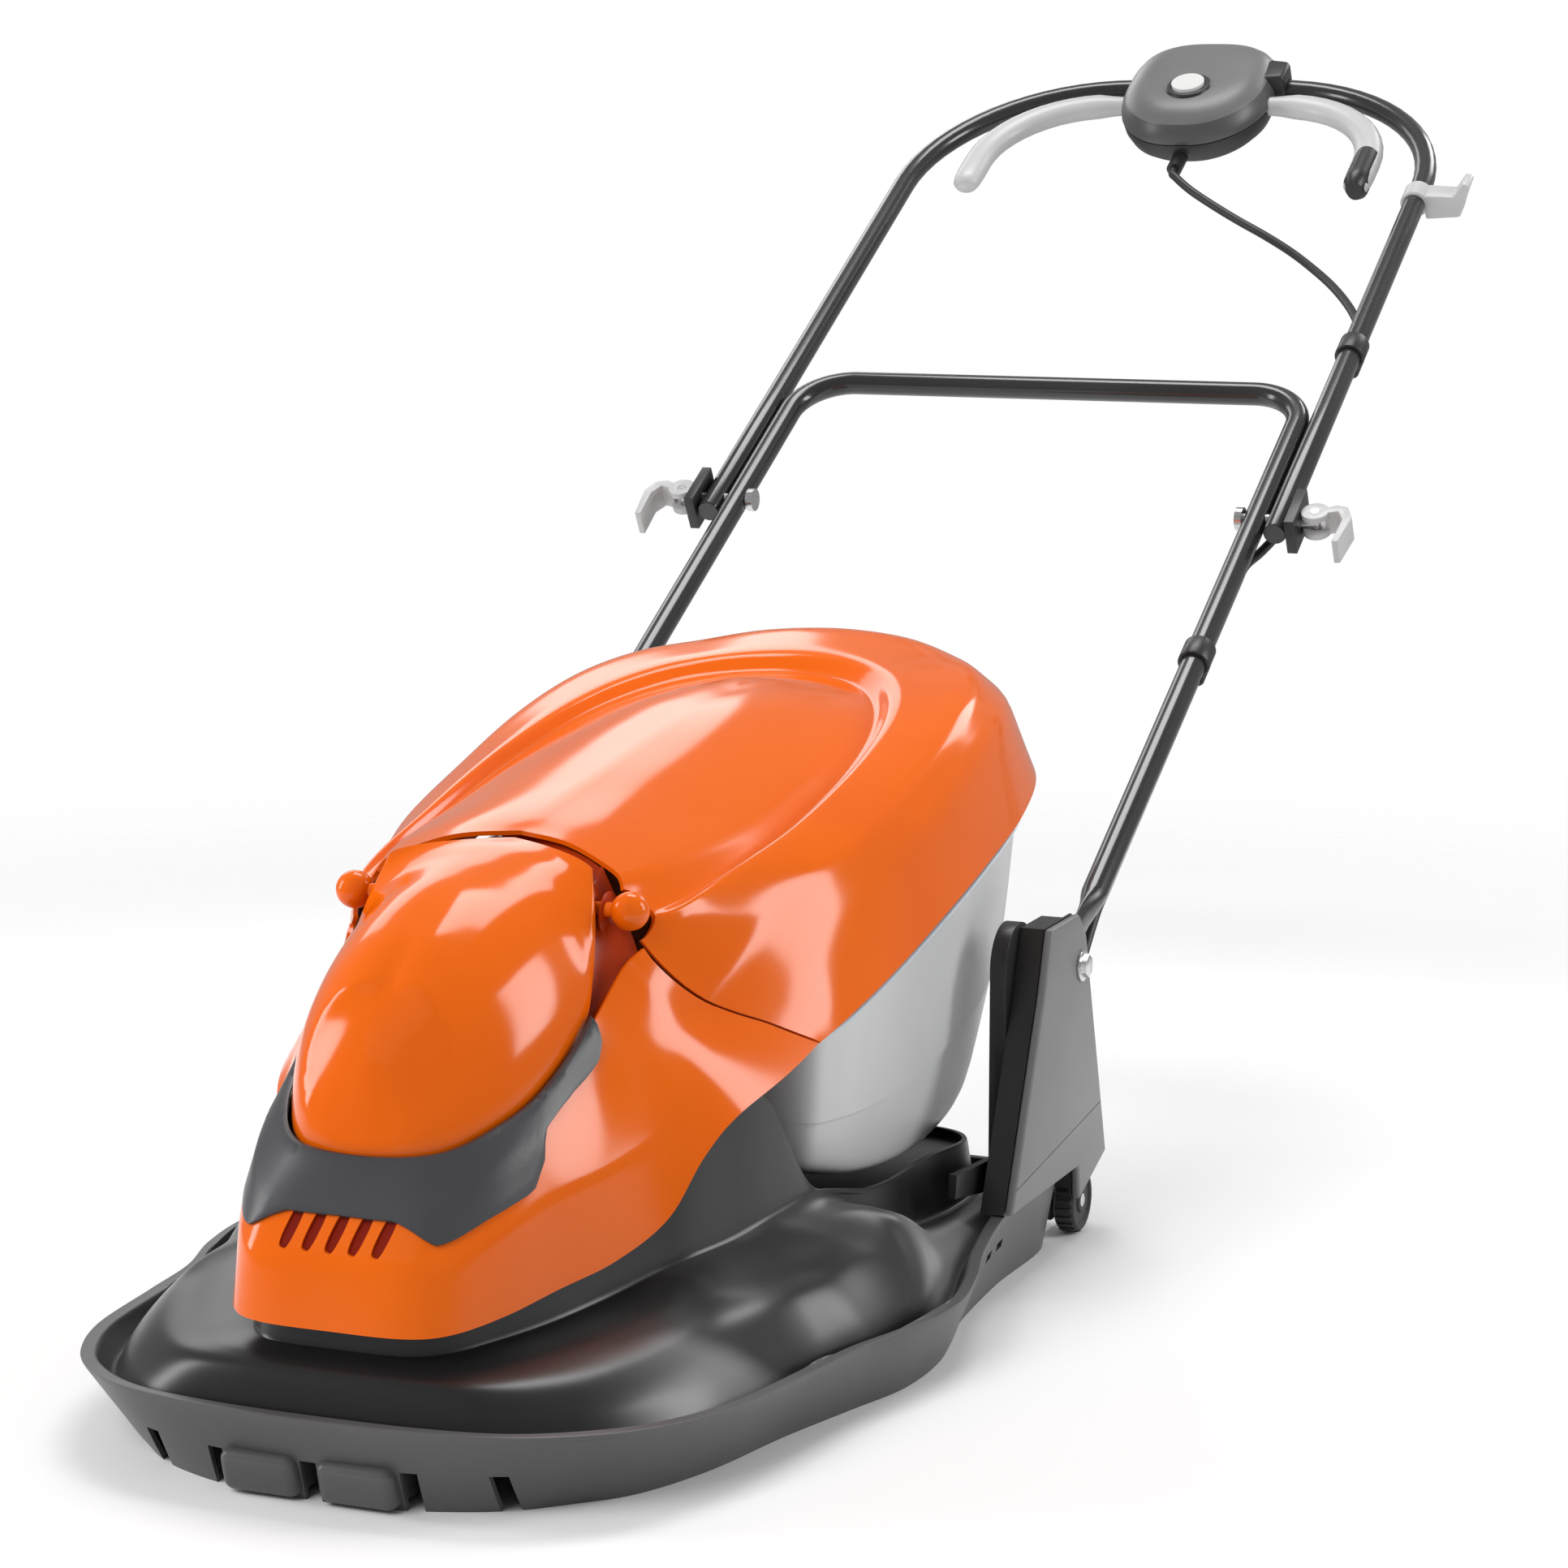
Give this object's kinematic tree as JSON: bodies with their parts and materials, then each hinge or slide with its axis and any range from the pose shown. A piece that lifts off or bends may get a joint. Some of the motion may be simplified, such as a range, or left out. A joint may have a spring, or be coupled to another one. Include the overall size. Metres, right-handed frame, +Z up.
{
  "type": "hover mower",
  "caption": "Electric hover mower: flared deck, glossy hood and hinged lid over a slide-out collection box, with a folding tube handle, switch box and bail lever.",
  "frame": {"origin": "on the ground under the blade spindle", "axes": "+X to the right seen from the front, +Y to the rear along the handle, +Z up"},
  "size_m": [0.5226, 1.5712, 0.7315],
  "materials": {
    "orange_gloss": "high gloss",
    "deck_grey": "satin moulding",
    "box_grey": "smooth",
    "black_plastic": "satin",
    "switch_grey": "fine grain",
    "pale_plastic": "satin",
    "white_plastic": "gloss",
    "tube_paint": "gloss paint",
    "bright_steel": "bright",
    "motor_metal": "plain",
    "copper_winding": "varnished",
    "wheel_black": "matt",
    "lead_black": "satin"
  },
  "bodies": {
    "base": {"hover_deck": "deck_grey", "motor_hood": "orange_gloss", "motor_dome": "orange_gloss", "chin_band": "deck_grey", "hinge_pin_left": "orange_gloss", "hinge_pin_right": "orange_gloss", "grass_chute": "black_plastic", "tower_cover_left": "deck_grey", "tower_cover_right": "deck_grey", "tower_post_left": "black_plastic", "tower_post_right": "black_plastic", "pivot_bolt_left": "bright_steel", "pivot_bolt_right": "bright_steel", "pivot_nuts": "bright_steel", "wheel_axle_left": "bright_steel", "wheel_axle_right": "bright_steel", "motor_plate": "motor_metal", "plate_screws": "bright_steel", "motor_can": "motor_metal", "motor_cap": "black_plastic", "field_stack": "motor_metal", "brush_holders": "copper_winding", "bearing_upper": "bright_steel", "bearing_lower": "bright_steel", "lead_base": "lead_black"},
    "spindle": {"armature": "copper_winding", "drive_shaft": "bright_steel", "impeller": "black_plastic", "blade_spacer": "bright_steel", "cutting_blade": "bright_steel", "clamp_washer": "bright_steel", "blade_bolt": "bright_steel"},
    "lid": {"lid": "orange_gloss"},
    "box": {"collection_box": "box_grey"},
    "lower": {"lower_handle": "tube_paint", "clip_lower": "black_plastic", "lead_low": "lead_black", "lead_fold": "lead_black"},
    "upper": {"upper_handle": "tube_paint", "fold_bolt_left": "bright_steel", "fold_bolt_right": "bright_steel", "clamp_block_left": "black_plastic", "clamp_block_right": "black_plastic", "switch_cover": "switch_grey", "switch_base": "black_plastic", "switch_unit": "pale_plastic", "button_spring": "bright_steel", "bail_spring": "bright_steel", "mains_inlet": "black_plastic", "lead_gland": "black_plastic", "cable_hook": "pale_plastic", "clip_upper": "black_plastic", "lead_top": "lead_black"},
    "cam_left": {"cam_lever_left": "pale_plastic"},
    "cam_right": {"cam_lever_right": "pale_plastic"},
    "button": {"lock_button": "white_plastic"},
    "bail": {"bail_lever": "pale_plastic"},
    "wheel_left": {"rear_wheel_left": "wheel_black"},
    "wheel_right": {"rear_wheel_right": "wheel_black"}
  },
  "joints": [
    {"name": "spindle_turn", "type": "hinge", "parent": "base", "child": "spindle", "pos_m": [0, 0, 0.02], "axis": [0, 0, 1], "continuous": true},
    {"name": "lid_hinge", "type": "hinge", "parent": "base", "child": "lid", "pos_m": [0, 0.021, 0.266], "axis": [1, 0, 0], "range_deg": [0, 60]},
    {"name": "box_slide", "type": "slide", "parent": "base", "child": "box", "axis": [0, 1, 0], "range_m": [0, 0.35]},
    {"name": "handle_pivot", "type": "hinge", "parent": "base", "child": "lower", "pos_m": [0, 0.408, 0.171], "axis": [1, 0, 0], "range_deg": [-15, 62], "deforming": ["lead_base"]},
    {"name": "handle_fold", "type": "hinge", "parent": "lower", "child": "upper", "pos_m": [0, 0.81533, 0.40145], "axis": [-1, 0, 0], "range_deg": [-145, 0], "deforming": ["lead_fold"]},
    {"name": "cam_left_swing", "type": "hinge", "parent": "upper", "child": "cam_left", "pos_m": [-0.23435, 0.81533, 0.40145], "axis": [0, 0.4924, -0.8704], "range_deg": [0, 90]},
    {"name": "cam_right_swing", "type": "hinge", "parent": "upper", "child": "cam_right", "pos_m": [0.23435, 0.81533, 0.40145], "axis": [0, -0.4924, 0.8704], "range_deg": [0, 90]},
    {"name": "button_press", "type": "slide", "parent": "upper", "child": "button", "axis": [0, 0.4924, -0.8704], "range_m": [0, 0.004], "stiffness_N_per_m": 400, "springref_m": -0.002},
    {"name": "bail_squeeze", "type": "hinge", "parent": "upper", "child": "bail", "pos_m": [0, 1.30621, 0.67918], "axis": [-1, 0, 0], "range_deg": [0, 12], "stiffness_Nm_per_rad": 1.5, "springref_deg": -5.73},
    {"name": "wheel_left_roll", "type": "hinge", "parent": "base", "child": "wheel_left", "pos_m": [-0.1913, 0.428, 0.0202], "axis": [1, 0, 0], "continuous": true},
    {"name": "wheel_right_roll", "type": "hinge", "parent": "base", "child": "wheel_right", "pos_m": [0.1913, 0.428, 0.0202], "axis": [1, 0, 0], "continuous": true}
  ]
}
